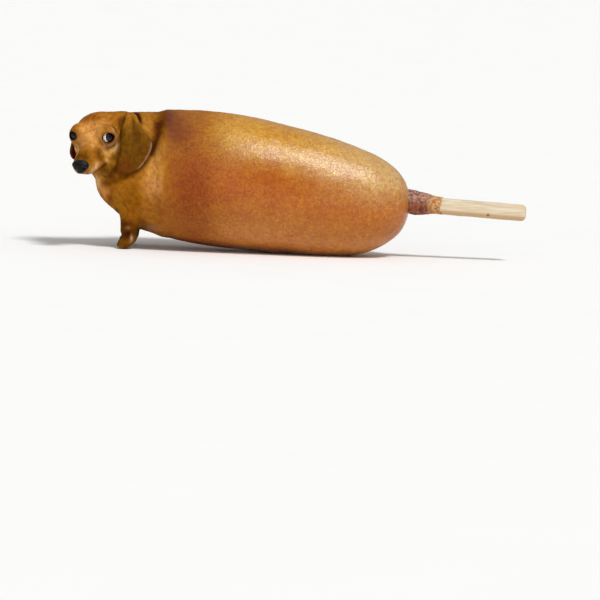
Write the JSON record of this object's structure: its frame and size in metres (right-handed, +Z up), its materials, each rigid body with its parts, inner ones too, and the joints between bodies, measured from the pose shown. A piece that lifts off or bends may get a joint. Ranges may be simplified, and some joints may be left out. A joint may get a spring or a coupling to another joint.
{
  "type": "corn dog with a dachshund's head",
  "caption": "Fat battered corn dog on a wooden stick whose far end is a dachshund's head, chest and forelegs; lies on its belly and paws.",
  "frame": {"origin": "on the floor, under the flat patch of the belly on which the corn dog lies", "axes": "+X runs from the dachshund's head to the stick, +Y towards the dachshund's right side, +Z is up"},
  "size_m": [0.1554, 0.0508, 0.0473],
  "materials": {
    "batter": "fried cornmeal batter, golden brown, slightly oily",
    "wood": "plain pale birch",
    "coat": "short smooth reddish brown hair",
    "nose_skin": "moist pebbled black skin",
    "eye": "wet, dark brown iris"
  },
  "bodies": {
    "root": {"batter": "batter", "stick": "wood", "dachshund": "coat", "nose": "nose_skin", "eye_left": "eye", "eye_right": "eye"}
  },
  "joints": []
}
